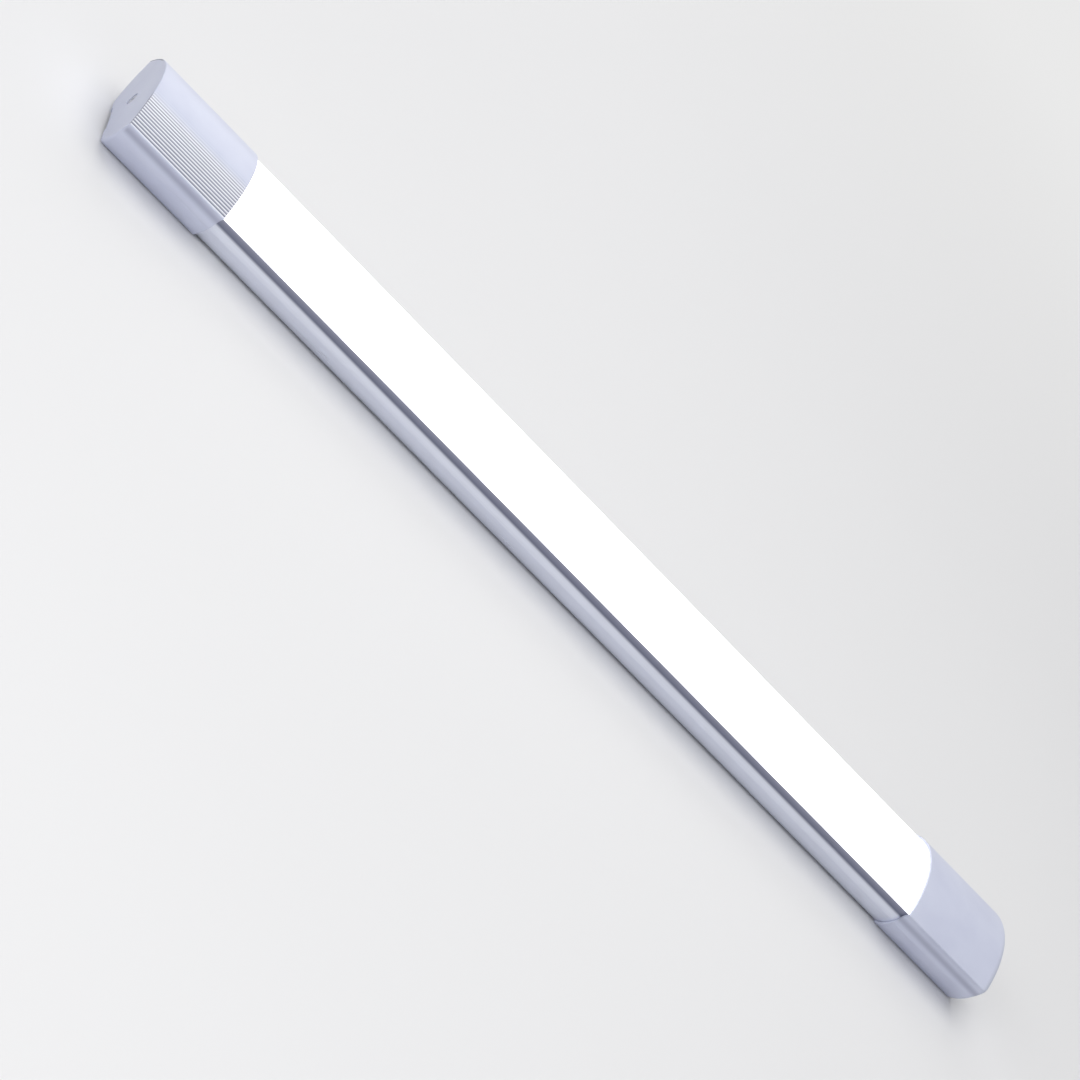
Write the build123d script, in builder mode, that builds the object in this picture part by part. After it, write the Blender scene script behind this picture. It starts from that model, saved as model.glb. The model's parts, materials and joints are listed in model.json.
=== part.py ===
from build123d import *
from math import asin, cos, sin, sqrt
import os

os.makedirs("parts", exist_ok=True)

# A 2 ft LED batten: an extruded rail with an opal arch, held between two moulded end caps.
# X runs along the lamp, Z up through the arch, and the caps' feet stand on Z = 0.

# Overall sizes, over the end caps
overall_length = 600.0
overall_width = 75.0
overall_height = 37.5

# Outer skin of the end caps, seen in section
dome_radius = 54.0
rim_height = 0.6
rail_radius = 31.35
rail_inset = 0.5
rail_rise = 4.9
rail_end_drop = 10.9
swell_drop = 5.95
swell_inset = 0.6
foot_edge_radius = 0.6

# End cap walls and details
cap_length = 60.0
cap_wall = 1.2
cap_clearance = 0.15
cap_end_wall = 2.8
plain_edge_radius = 4.0
ribbed_edge_chamfer = 0.4
rounding_margin = 0.04
recess_half_width = 12.5
recess_depth = 3.0
cap_boss_radius = 5.0
cap_boss_length = 2.0

# Flutes moulded into both shoulders of the supply cap
flute_count = 16
flute_pitch = 1.55
flute_width = 1.2
flute_depth = 0.42
flute_start = 1.3

# Rail extrusion
rail_wall = 1.6
base_wall = 1.2
channel_half_width = 16.5
channel_wall = 1.2
lip_gap = 0.15
channel_height = 2.45
shelf_top = 20.0
shelf_wall = 1.4
lip_seat = 21.6
lip_height = 0.7
lip_setback = 0.75
lip_wall = 2.6
lip_bead = 0.4
bead_height = 0.65
port_drop = 3.0
port_radius = 2.9
port_slit = 1.4

# Opal arch
diffuser_wall = 1.2
leg_wall = 1.2
leg_gap = 0.1
barb_out = 0.3
leg_foot_gap = 0.2

# End cap screws
cap_screw_radius = 1.35
cap_screw_hole_radius = 1.9
cap_screw_head_radius = 3.0
cap_screw_head_height = 2.0
cap_screw_length = 14.0
counterbore_radius = 3.4
counterbore_depth = 2.2

# Mounting clips of spring steel
clip_spacing = 400.0
clip_length = 24.0
clip_thickness = 1.2
clip_bend_radius = 1.0
clip_side_gap = 0.5
clip_hole_radius = 2.25

# Light engine
board_width = 20.0
board_thickness = 1.0
board_end_gap = 6.0
chip_length = 3.5
chip_width = 2.8
chip_height = 0.7
chip_pitch = 15.5
board_screw_radius = 1.25
board_screw_head_radius = 2.5
board_screw_head_height = 1.6
board_screw_y = 7.0
board_screw_steps = 9

# Driver, lying in its tray on the channel's roof
driver_end_x = -205.0
tray_length = 140.0
tray_half_width = 20.0
tray_wall = 0.8
tray_height = 4.8
ledge_width = 2.0
ledge_height = 1.2
driver_board_thickness = 1.4
driver_board_gap = 0.3

# Supply end
terminal_x = -276.0
terminal_y = -11.0
terminal_length = 14.0
terminal_height = 7.4
terminal_pitch = 5.6
terminal_edge = 3.4
grommet_x = -222.0
grommet_neck_radius = 5.5
grommet_flange_radius = 7.0
grommet_flange = 1.2
grommet_bore_radius = 3.6
earth_x = -240.0
earth_y = 9.0
earth_screw_radius = 1.4
wire_radius = 0.9
led_wire_radius = 0.7
led_wire_end_gap = 6.0
led_wire_y = 13.5
led_wire_spread = 1.6
led_hole_radius = 2.8

# Places worked out from the sizes above
half_length = overall_length / 2
half_width = overall_width / 2
dome_centre_z = overall_height - dome_radius
cap_skin = cap_wall + cap_clearance
body_half_width = half_width - cap_skin
shoulder_z = dome_centre_z + sqrt(dome_radius**2 - half_width**2)
rail_centre_y = half_width - rail_inset - rail_radius
rail_centre_z = shoulder_z + rail_rise
rail_end_z = shoulder_z - rail_end_drop
swell_z = shoulder_z - swell_drop
body_end_x = half_length - cap_end_wall - cap_boss_length
body_length = 2 * body_end_x
opening_half_width = recess_half_width + cap_skin
lip_top_z = cap_skin + base_wall
channel_roof_z = lip_top_z + channel_height
cavity_floor_z = channel_roof_z + base_wall
shelf_low = shelf_top - shelf_wall
port_z = shelf_top - port_drop
lip_y = body_half_width - lip_setback
lip_low_z = lip_seat - lip_height
tray_floor_z = cavity_floor_z + tray_wall
driver_board_z = tray_floor_z + ledge_height
driver_top_z = driver_board_z + driver_board_thickness
board_top_z = shelf_top + board_thickness
led_wire_x = driver_end_x + tray_length - led_wire_end_gap


def dome_point(angle, radius):
    """A point on an arc about the dome's centre, at an angle from straight up."""
    return (radius * sin(angle), dome_centre_z + radius * cos(angle))


def dome_height(radius, y):
    """Height of a dome arc at a distance y from the middle."""
    return dome_centre_z + sqrt(radius**2 - y**2)


def rail_width(radius, z):
    """Half width of a rail arc at a height z."""
    return rail_centre_y + sqrt(radius**2 - (z - rail_centre_z) ** 2)


def dome_side(radius, y):
    """Half of a dome arc, from the crown out to a distance y."""
    return ThreePointArc(
        (0, dome_centre_z + radius),
        (y / 2, dome_height(radius, y / 2)),
        (y, dome_height(radius, y)),
    )


def rail_side(inset, low_z, band_top):
    """One side of the rail from its foot up: a long arc, a short swell, and a hollow band."""
    radius = rail_radius - inset
    mid_z = (low_z + rail_end_z) / 2
    long_arc = ThreePointArc(
        (rail_width(radius, low_z), low_z),
        (rail_width(radius, mid_z), mid_z),
        (rail_width(radius, rail_end_z), rail_end_z),
    )
    swell_point = (rail_width(radius, swell_z) - swell_inset, swell_z)
    swell = TangentArc(long_arc @ 1, swell_point, tangent=long_arc % 1)
    TangentArc(swell @ 1, band_top, tangent=swell % 1)


# The outer skin's side in full, whose hollow band the rail and the caps' inside run parallel to
rail_skin = rail_radius - cap_skin
rim_low = (half_width, shoulder_z - rim_height)

with BuildLine() as skin_side:
    rail_side(0, 0, rim_low)

hollow_band = skin_side.edges().sort_by(Axis.Y)[-1]


def hollow_width(inset, z):
    """Half width of the hollow band at a height z, at a distance inside the outer skin."""
    centre = hollow_band.arc_center
    return centre.X - sqrt((hollow_band.radius + inset) ** 2 - (z - centre.Y) ** 2)


def cap_shell(finish_edge, edge_size):
    """A moulded end cap at the +X end, a closed sleeve over the rail and the arch, with its
    outer end's edge finished by fillet or chamfer."""
    # A plain form of the same outline gives the cap its finished outer end
    with BuildPart() as end_form:
        with BuildSketch(Plane.YZ.offset(half_length - cap_length)):
            with BuildLine():
                form_y = half_width + rounding_margin
                form_radius = rail_radius + rounding_margin
                form_top = (form_y, dome_height(dome_radius + rounding_margin, form_y))
                side_y = rail_width(form_radius, rail_end_z)
                foot = (rail_width(form_radius, -rounding_margin), -rounding_margin)
                dome_side(dome_radius + rounding_margin, form_y)
                ThreePointArc(form_top, (side_y, rail_end_z), foot)
                Line(foot, (0, -rounding_margin))
                mirror(about=Plane.YZ)
            make_face()
        extrude(amount=cap_length)
        finish_edge(end_form.faces().sort_by(Axis.X)[-1].edges(), edge_size)

    with BuildPart() as shell:
        with BuildSketch(Plane.YZ.offset(half_length - cap_length)):
            with BuildLine():
                dome_side(dome_radius, half_width)
                Line((half_width, shoulder_z), rim_low)
                rail_side(0, 0, rim_low)
                Line((rail_width(rail_radius, 0), 0), (0, 0))
                mirror(about=Plane.YZ)
            make_face()
        extrude(amount=cap_length)
        foot_edges = shell.edges().filter_by(Axis.X).group_by(Axis.Z)[0]
        fillet(foot_edges, foot_edge_radius)
        add(end_form.part, mode=Mode.INTERSECT)

        # The inside follows the rail and the arch with a clearance
        with BuildSketch(Plane.YZ.offset(half_length - cap_length)):
            with BuildLine():
                side_y = half_width - cap_wall
                pocket_z = lip_low_z - lip_gap
                band_top = (hollow_width(cap_wall, pocket_z), pocket_z)
                foot_y = rail_width(rail_radius - cap_wall, cap_wall)
                dome_side(dome_radius - cap_wall, side_y)
                Polyline(
                    (side_y, dome_height(dome_radius - cap_wall, side_y)),
                    (side_y, lip_seat - lip_gap),
                    (lip_y + lip_gap, lip_seat - lip_gap),
                    (lip_y + lip_gap, pocket_z),
                    band_top,
                )
                rail_side(cap_wall, cap_wall, band_top)
                Polyline(
                    (foot_y, cap_wall),
                    (recess_half_width + cap_wall, cap_wall),
                    (recess_half_width + cap_wall, recess_depth + cap_wall),
                    (0, recess_depth + cap_wall),
                )
                mirror(about=Plane.YZ)
            make_face()
        extrude(amount=cap_length - cap_end_wall, mode=Mode.SUBTRACT)

        # Back recess between the feet, so that the cap clears the mounting channel
        with BuildSketch(Plane.YZ.offset(half_length - cap_length)):
            with Locations((0, recess_depth / 2)):
                Rectangle(2 * recess_half_width, recess_depth)
        extrude(amount=cap_length, mode=Mode.SUBTRACT)

        # Screw boss inside the end wall, with the screw head sunk from outside
        with BuildSketch(Plane.YZ.offset(body_end_x)):
            with Locations((0, port_z)):
                Circle(cap_boss_radius)
        extrude(amount=cap_boss_length)
        with Locations(Plane.YZ.offset(half_length)):
            with Locations((0, port_z)):
                CounterBoreHole(
                    radius=cap_screw_hole_radius,
                    counter_bore_radius=counterbore_radius,
                    counter_bore_depth=counterbore_depth,
                    depth=cap_end_wall + cap_boss_length,
                )
    return shell.part


# Rail extrusion: feet with a slotted back channel, swelling sides, shelf, lips and screw port
with BuildPart() as housing:
    with BuildSketch(Plane.YZ.offset(-body_end_x)) as rail_section:
        with BuildLine():
            band_top = (hollow_width(cap_skin, lip_low_z), lip_low_z)
            rail_side(cap_skin, cap_skin, band_top)
            Polyline(band_top, (lip_y, lip_low_z), (lip_y, lip_seat), (0, lip_seat))
            Line((rail_width(rail_skin, cap_skin), cap_skin), (0, cap_skin))
            mirror(about=Plane.YZ)
        make_face()

        # Trough for the light engine, with a bead along each lip for the arch to snap under
        trough_half_width = body_half_width - lip_wall
        with Locations((0, (shelf_top + lip_seat - bead_height) / 2)):
            Rectangle(2 * trough_half_width, lip_seat - bead_height - shelf_top, mode=Mode.SUBTRACT)
        with Locations((0, lip_seat - bead_height / 2)):
            Rectangle(2 * (trough_half_width - lip_bead), bead_height, mode=Mode.SUBTRACT)

        # Driver cavity, which drops into a well on each side of the channel
        with BuildLine():
            inner_radius = rail_skin - rail_wall
            well_y = channel_half_width + channel_wall
            upper = (rail_width(inner_radius, shelf_low), shelf_low)
            lower = (rail_width(inner_radius, lip_top_z), lip_top_z)
            middle_z = (shelf_low + lip_top_z) / 2
            ThreePointArc(lower, (rail_width(inner_radius, middle_z), middle_z), upper)
            Polyline(upper, (0, shelf_low))
            Polyline((0, cavity_floor_z), (well_y, cavity_floor_z), (well_y, lip_top_z), lower)
            mirror(about=Plane.YZ)
        make_face(mode=Mode.SUBTRACT)

        # Back channel, open between two lips that the mounting clips hook over
        with Locations((0, (lip_top_z + channel_roof_z) / 2)):
            Rectangle(2 * channel_half_width, channel_height, mode=Mode.SUBTRACT)
        with Locations((0, cap_skin + base_wall / 2)):
            Rectangle(2 * opening_half_width, base_wall, mode=Mode.SUBTRACT)

        # Slit screw port under the shelf
        with Locations((0, port_z)):
            Circle(port_radius)
            Circle(cap_screw_radius, mode=Mode.SUBTRACT)
        with Locations((0, port_z - port_radius / 2)):
            Rectangle(port_slit, port_radius, mode=Mode.SUBTRACT)
    extrude(amount=body_length)

    # Cable entry and earth screw through the channel's roof
    with Locations((grommet_x, 0, cavity_floor_z)):
        Hole(grommet_neck_radius, depth=base_wall)
    with Locations((earth_x, earth_y, cavity_floor_z)):
        Hole(earth_screw_radius, depth=base_wall)

    # Holes in the shelf for the light engine's screws and its leads
    with Locations((led_wire_x, led_wire_y, shelf_top)):
        Hole(led_hole_radius, depth=shelf_wall)
    with Locations((0, board_screw_y, shelf_top)):
        with GridLocations(board_screw_steps * chip_pitch, 1, 5, 1):
            Hole(board_screw_radius, depth=shelf_wall)

housing.part.label = "housing"
export_step(housing.part, "parts/housing.step")


# Opal arch, with a hooked leg along each edge that snaps into the trough
with BuildPart() as diffuser:
    with BuildSketch(Plane.YZ.offset(-body_end_x)):
        with BuildLine():
            arch_radius = dome_radius - cap_skin
            leg_outer = body_half_width - lip_wall - lip_bead - leg_gap
            leg_inner = leg_outer - leg_wall
            leg_foot_z = shelf_top + leg_foot_gap
            barb_top_z = lip_seat - bead_height - leg_gap
            dome_side(arch_radius, body_half_width)
            Polyline(
                (body_half_width, dome_height(arch_radius, body_half_width)),
                (body_half_width, lip_seat),
                (leg_outer, lip_seat),
                (leg_outer, barb_top_z),
                (leg_outer + barb_out, barb_top_z),
                (leg_outer, leg_foot_z),
                (leg_inner, leg_foot_z),
                (leg_inner, dome_height(arch_radius - diffuser_wall, leg_inner)),
            )
            dome_side(arch_radius - diffuser_wall, leg_inner)
            mirror(about=Plane.YZ)
        make_face()
    extrude(amount=body_length)

diffuser.part.label = "diffuser"
export_step(diffuser.part, "parts/diffuser.step")


# Supply end cap, fluted on both shoulders: each flute is shallower than the one outside it
ribbed_shell = mirror(cap_shell(chamfer, ribbed_edge_chamfer), about=Plane.YZ)

with BuildPart() as supply_end_cap:
    add(ribbed_shell)
    with BuildSketch(Plane.YZ.offset(-half_length)):
        shoulder_angle = asin(half_width / dome_radius)
        for side in (-1, 1):
            for step in range(flute_count):
                angle = side * (shoulder_angle - (flute_start + step * flute_pitch) / dome_radius)
                spread = flute_width / dome_radius / 2
                depth = flute_depth * (1 - step / flute_count)
                with BuildLine():
                    Polyline(
                        dome_point(angle - spread, dome_radius),
                        dome_point(angle - spread, dome_radius + flute_depth),
                        dome_point(angle + spread, dome_radius + flute_depth),
                        dome_point(angle + spread, dome_radius),
                        dome_point(angle, dome_radius - depth),
                        close=True,
                    )
                make_face()
    extrude(amount=cap_length, mode=Mode.SUBTRACT)

supply_end_cap.part.label = "supply_end_cap"
export_step(supply_end_cap.part, "parts/supply_end_cap.step")


# Plain end cap, with a well rounded outer end
plain_shell = cap_shell(fillet, plain_edge_radius)

with BuildPart() as plain_end_cap:
    add(plain_shell)

plain_end_cap.part.label = "plain_end_cap"
export_step(plain_end_cap.part, "parts/plain_end_cap.step")


# One pan-head screw through each end wall into the rail's screw port
screw_seat_x = half_length - counterbore_depth
for screw_name, screw_plane in (
    ("supply_cap_screw", Plane((-screw_seat_x, 0, port_z), x_dir=(0, 1, 0), z_dir=(-1, 0, 0))),
    ("plain_cap_screw", Plane((screw_seat_x, 0, port_z), x_dir=(0, 1, 0), z_dir=(1, 0, 0))),
):
    with BuildPart(screw_plane) as cap_screw:
        Cylinder(
            cap_screw_head_radius,
            cap_screw_head_height,
            align=(Align.CENTER, Align.CENTER, Align.MIN),
        )
        chamfer(cap_screw.edges().group_by(SortBy.DISTANCE)[-1], cap_screw_head_height / 3)
        Cylinder(
            cap_screw_radius,
            cap_screw_length,
            align=(Align.CENTER, Align.CENTER, Align.MAX),
        )
    cap_screw.part.label = screw_name
    export_step(cap_screw.part, f"parts/{screw_name}.step")


# Light engine: an aluminium-backed board, its emitters and its screws
with BuildPart() as led_board:
    with BuildSketch(Plane.XY.offset(shelf_top)):
        Rectangle(body_length - 2 * board_end_gap, board_width)
        with Locations((0, board_screw_y)):
            with GridLocations(board_screw_steps * chip_pitch, 1, 5, 1):
                Circle(board_screw_radius, mode=Mode.SUBTRACT)
    extrude(amount=board_thickness)

led_board.part.label = "led_board"
export_step(led_board.part, "parts/led_board.step")

chip_count = 2 * int((body_length / 2 - board_end_gap) / chip_pitch)

with BuildPart() as led_chips:
    with BuildSketch(Plane.XY.offset(board_top_z)):
        with GridLocations(chip_pitch, 1, chip_count, 1):
            Rectangle(chip_length, chip_width)
    extrude(amount=chip_height)

led_chips.part.label = "led_chips"
export_step(led_chips.part, "parts/led_chips.step")

with BuildPart(Plane.XY.offset(board_top_z)) as board_screws:
    with Locations((0, board_screw_y)):
        with GridLocations(board_screw_steps * chip_pitch, 1, 5, 1):
            Cylinder(
                board_screw_head_radius,
                board_screw_head_height,
                align=(Align.CENTER, Align.CENTER, Align.MIN),
            )
            Cylinder(
                board_screw_radius,
                board_thickness + shelf_wall,
                align=(Align.CENTER, Align.CENTER, Align.MAX),
            )

board_screws.part.label = "board_screws"
export_step(board_screws.part, "parts/board_screws.step")


# Driver tray: an insulating trough with a ledge along each side that holds the board up
tray_centre_x = driver_end_x + tray_length / 2

with BuildPart() as driver_tray:
    with BuildSketch(Plane.XY.offset(cavity_floor_z)):
        with Locations((tray_centre_x, 0)):
            Rectangle(tray_length, 2 * tray_half_width)
    extrude(amount=tray_height)
    with BuildSketch(Plane.XY.offset(tray_floor_z)):
        with Locations((tray_centre_x, 0)):
            Rectangle(tray_length - 2 * tray_wall, 2 * (tray_half_width - tray_wall - ledge_width))
    extrude(amount=tray_height, mode=Mode.SUBTRACT)
    with BuildSketch(Plane.XY.offset(driver_board_z)):
        with Locations((tray_centre_x, 0)):
            Rectangle(tray_length - 2 * tray_wall, 2 * (tray_half_width - tray_wall))
    extrude(amount=tray_height, mode=Mode.SUBTRACT)

driver_tray.part.label = "driver_tray"
export_step(driver_tray.part, "parts/driver_tray.step")

driver_board_length = tray_length - 2 * (tray_wall + driver_board_gap)
driver_board_width = 2 * (tray_half_width - tray_wall - driver_board_gap)

with BuildPart() as driver_board:
    with BuildSketch(Plane.XY.offset(driver_board_z)):
        with Locations((tray_centre_x, 0)):
            RectangleRounded(driver_board_length, driver_board_width, 1)
    extrude(amount=driver_board_thickness)

driver_board.part.label = "driver_board"
export_step(driver_board.part, "parts/driver_board.step")


# Parts on the driver board, in two rows that leave the screw port free between them
near_row_y = -11.0
far_row_y = 10.5
lead_length = 0.6


def board_plane(step_x, row_y, lift=0.0):
    """A plane on the driver board, at a distance from its supply end."""
    return Plane((driver_end_x + step_x, row_y, driver_top_z + lift))


fuse_radius = 1.7
fuse_length = 9.0

with BuildPart(board_plane(16, near_row_y, fuse_radius)) as input_fuse:
    Cylinder(fuse_radius, fuse_length, rotation=(0, 90, 0))
    with Locations((-fuse_length / 3, 0, 0), (fuse_length / 3, 0, 0)):
        Cylinder(fuse_radius * 0.85, 1.5, rotation=(0, 90, 0))

input_fuse.part.label = "input_fuse"
export_step(input_fuse.part, "parts/input_fuse.step")

varistor_radius = 3.6
varistor_thickness = 3.4

with BuildPart(board_plane(15, far_row_y, lead_length + varistor_radius)) as varistor:
    Cylinder(varistor_radius, varistor_thickness, rotation=(0, 90, 0))
    chamfer(varistor.edges().filter_by(GeomType.CIRCLE), varistor_thickness / 4)
    with Locations((0, -varistor_radius / 2, -varistor_radius), (0, varistor_radius / 2, -varistor_radius)):
        Box(0.6, 0.6, 2 * lead_length)

varistor.part.label = "varistor"
export_step(varistor.part, "parts/varistor.step")

choke_radius = 4.2
choke_height = 6.6
choke_flange = 1.0

with BuildPart(board_plane(32, near_row_y)) as emi_choke:
    with BuildSketch(Plane.XZ.offset(-near_row_y)):
        with Locations((driver_end_x + 32, driver_top_z)):
            Rectangle(choke_radius, choke_height, align=(Align.MIN, Align.MIN))
        with Locations((driver_end_x + 32 + choke_radius, driver_top_z + choke_height / 2)):
            Rectangle(1.6, choke_height - 2 * choke_flange, mode=Mode.SUBTRACT)
    revolve(axis=Axis((driver_end_x + 32, near_row_y, 0), (0, 0, 1)))

emi_choke.part.label = "emi_choke"
export_step(emi_choke.part, "parts/emi_choke.step")

with BuildPart(board_plane(34, far_row_y)) as film_capacitor:
    Box(13, 5.5, 7, align=(Align.CENTER, Align.CENTER, Align.MIN))
    fillet(film_capacitor.edges().filter_by(Axis.Z), 1)

film_capacitor.part.label = "film_capacitor"
export_step(film_capacitor.part, "parts/film_capacitor.step")

with BuildPart(board_plane(50, near_row_y)) as bridge_rectifier:
    with Locations((0, 0, lead_length)):
        Box(6.4, 5.0, 2.2, align=(Align.CENTER, Align.CENTER, Align.MIN))
    with GridLocations(5.1, 5.6, 2, 2):
        Box(1.0, 1.6, 2 * lead_length, align=(Align.CENTER, Align.CENTER, Align.MIN))

bridge_rectifier.part.label = "bridge_rectifier"
export_step(bridge_rectifier.part, "parts/bridge_rectifier.step")

bulk_radius = 4.0
bulk_length = 17.0
with BuildPart(board_plane(69, near_row_y, bulk_radius)) as bulk_capacitor:
    Cylinder(bulk_radius, bulk_length, rotation=(0, 90, 0))
    chamfer(bulk_capacitor.edges().filter_by(GeomType.CIRCLE), 0.8)

bulk_capacitor.part.label = "bulk_capacitor"
export_step(bulk_capacitor.part, "parts/bulk_capacitor.step")

with BuildPart(board_plane(60, far_row_y)) as driver_chip:
    with Locations((0, 0, 0.1)):
        Box(4.9, 3.9, 1.5, align=(Align.CENTER, Align.CENTER, Align.MIN))
    with GridLocations(1.27, 5.0, 4, 2):
        Box(0.4, 1.2, 0.5, align=(Align.CENTER, Align.CENTER, Align.MIN))

driver_chip.part.label = "driver_chip"
export_step(driver_chip.part, "parts/driver_chip.step")

inductor_width = 12.0
inductor_height = 7.8
with BuildPart(board_plane(94, near_row_y)) as power_inductor:
    Box(inductor_width, inductor_width, 1.5, align=(Align.CENTER, Align.CENTER, Align.MIN))
    Cylinder(inductor_width * 0.4, inductor_height, align=(Align.CENTER, Align.CENTER, Align.MIN))
    with Locations((0, 0, inductor_height)):
        Box(inductor_width, inductor_width * 0.6, 1.5, align=(Align.CENTER, Align.CENTER, Align.MAX))

power_inductor.part.label = "power_inductor"
export_step(power_inductor.part, "parts/power_inductor.step")

with BuildPart(board_plane(80, far_row_y)) as output_diode:
    Box(4.4, 2.6, 2.1, align=(Align.CENTER, Align.CENTER, Align.MIN))
    Box(5.6, 1.5, 0.8, align=(Align.CENTER, Align.CENTER, Align.MIN))

output_diode.part.label = "output_diode"
export_step(output_diode.part, "parts/output_diode.step")

output_radius = 3.15
output_length = 12.0
with BuildPart(board_plane(98, far_row_y, output_radius)) as output_capacitor:
    Cylinder(output_radius, output_length, rotation=(0, 90, 0))
    chamfer(output_capacitor.edges().filter_by(GeomType.CIRCLE), 0.6)

output_capacitor.part.label = "output_capacitor"
export_step(output_capacitor.part, "parts/output_capacitor.step")


# Supply terminals: three poles side by side, a screw over each and a wire entry at each end
terminal_width = 2 * terminal_pitch + 2 * terminal_edge
terminal_wire_z = 3.2
terminal_screw_radius = 1.6
terminal_screw_depth = 2.4
terminal_screw_height = 1.8

with BuildPart(Plane((terminal_x, terminal_y, cavity_floor_z))) as terminal_block:
    Box(terminal_length, terminal_width, terminal_height, align=(Align.CENTER, Align.CENTER, Align.MIN))
    chamfer(terminal_block.edges().filter_by(Axis.Y).group_by(Axis.Z)[-1], 1)
    with Locations((0, 0, terminal_height)):
        with GridLocations(1, terminal_pitch, 1, 3):
            Hole(terminal_screw_radius, depth=terminal_screw_depth)
    with GridLocations(1, terminal_pitch, 1, 3):
        with Locations((0, 0, terminal_wire_z)):
            Cylinder(
                wire_radius,
                terminal_length,
                rotation=(0, 90, 0),
                mode=Mode.SUBTRACT,
            )

terminal_block.part.label = "terminal_block"
export_step(terminal_block.part, "parts/terminal_block.step")

terminal_seat_z = cavity_floor_z + terminal_height - terminal_screw_depth

with BuildPart(Plane((terminal_x, terminal_y, terminal_seat_z))) as terminal_screws:
    with GridLocations(1, terminal_pitch, 1, 3):
        Cylinder(
            terminal_screw_radius,
            terminal_screw_height,
            align=(Align.CENTER, Align.CENTER, Align.MIN),
        )

terminal_screws.part.label = "terminal_screws"
export_step(terminal_screws.part, "parts/terminal_screws.step")


# Rubber grommet in the channel's roof, where the supply cable comes in
with BuildPart() as cable_grommet:
    with BuildSketch(Plane.XZ):
        with Locations((grommet_x + grommet_bore_radius, channel_roof_z - grommet_flange)):
            Rectangle(
                grommet_flange_radius - grommet_bore_radius,
                base_wall + 2 * grommet_flange,
                align=(Align.MIN, Align.MIN),
            )
        with Locations((grommet_x + grommet_neck_radius, channel_roof_z)):
            Rectangle(
                grommet_flange_radius,
                base_wall,
                align=(Align.MIN, Align.MIN),
                mode=Mode.SUBTRACT,
            )
    revolve(axis=Axis((grommet_x, 0, 0), (0, 0, 1)))

cable_grommet.part.label = "cable_grommet"
export_step(cable_grommet.part, "parts/cable_grommet.step")


# Earth: a ring terminal under a pan-head screw on the channel's roof
ring_radius = 3.6
ring_thickness = 0.8
barrel_radius = 1.5
barrel_length = 5.0
barrel_x = earth_x - ring_radius - barrel_length / 2

with BuildPart(Plane((earth_x, earth_y, cavity_floor_z))) as ring_terminal:
    Cylinder(ring_radius, ring_thickness, align=(Align.CENTER, Align.CENTER, Align.MIN))
    with Locations((-ring_radius, 0, 0)):
        Box(3, 2 * barrel_radius, ring_thickness, align=(Align.CENTER, Align.CENTER, Align.MIN))
    with Locations((barrel_x - earth_x, 0, barrel_radius)):
        Cylinder(barrel_radius, barrel_length, rotation=(0, 90, 0))
        Cylinder(wire_radius, barrel_length, rotation=(0, 90, 0), mode=Mode.SUBTRACT)
    Hole(earth_screw_radius)

ring_terminal.part.label = "ring_terminal"
export_step(ring_terminal.part, "parts/ring_terminal.step")

with BuildPart(Plane((earth_x, earth_y, cavity_floor_z + ring_thickness))) as earth_screw:
    Cylinder(3, 2, align=(Align.CENTER, Align.CENTER, Align.MIN))
    chamfer(earth_screw.edges().group_by(Axis.Z)[-1], 0.7)
    Cylinder(
        earth_screw_radius,
        ring_thickness + base_wall,
        align=(Align.CENTER, Align.CENTER, Align.MAX),
    )

earth_screw.part.label = "earth_screw"
export_step(earth_screw.part, "parts/earth_screw.step")


def wire(points, radii, radius):
    """A lead of one gauge along straight runs joined by tangent arcs."""
    with BuildPart() as lead:
        with BuildLine() as route:
            FilletPolyline(*points, radius=radii)
        with BuildSketch(Plane(route.line @ 0, z_dir=route.line % 0)):
            Circle(radius)
        sweep()
    return lead.part


# Supply leads, from the terminals over the tray's end wall and down to the board
entry_x = terminal_x + terminal_length / 2
entry_z = cavity_floor_z + terminal_wire_z
over_z = driver_top_z + 3.6
drop_x = driver_end_x + 6
for wire_name, pole, drop_y in (("live_wire", -1, near_row_y - 3), ("neutral_wire", 0, near_row_y + 3)):
    pole_y = terminal_y + pole * terminal_pitch
    lead_part = wire(
        (
            (entry_x - terminal_length / 4, pole_y, entry_z),
            (entry_x + 12, pole_y, entry_z),
            (drop_x, drop_y, over_z),
            (drop_x, drop_y, driver_top_z),
        ),
        (12, 2.4),
        wire_radius,
    )
    lead_part.label = wire_name
    export_step(lead_part, f"parts/{wire_name}.step")

# Earth lead, from the third terminal across to the ring terminal's barrel
earth_pole_y = terminal_y + terminal_pitch
barrel_end_x = barrel_x - barrel_length / 2
earth_part = wire(
    (
        (entry_x - terminal_length / 4, earth_pole_y, entry_z),
        (entry_x + 7, earth_pole_y, entry_z),
        (barrel_end_x - 5, earth_y, cavity_floor_z + barrel_radius),
        (barrel_x, earth_y, cavity_floor_z + barrel_radius),
    ),
    (5, 4),
    wire_radius,
)
earth_part.label = "earth_wire"
export_step(earth_part, "parts/earth_wire.step")

# Output leads, straight up from the driver through the shelf and over onto the light engine
led_pad_y = board_width / 2 - 2
led_wire_z = board_top_z + led_wire_radius
for wire_name, side in (("led_plus_wire", 1), ("led_minus_wire", -1)):
    lead_x = led_wire_x + side * led_wire_spread / 2
    lead_part = wire(
        (
            (lead_x, led_wire_y, driver_top_z),
            (lead_x, led_wire_y, led_wire_z),
            (lead_x, led_pad_y, led_wire_z),
        ),
        1.4,
        led_wire_radius,
    )
    lead_part.label = wire_name
    export_step(lead_part, f"parts/{wire_name}.step")


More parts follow.
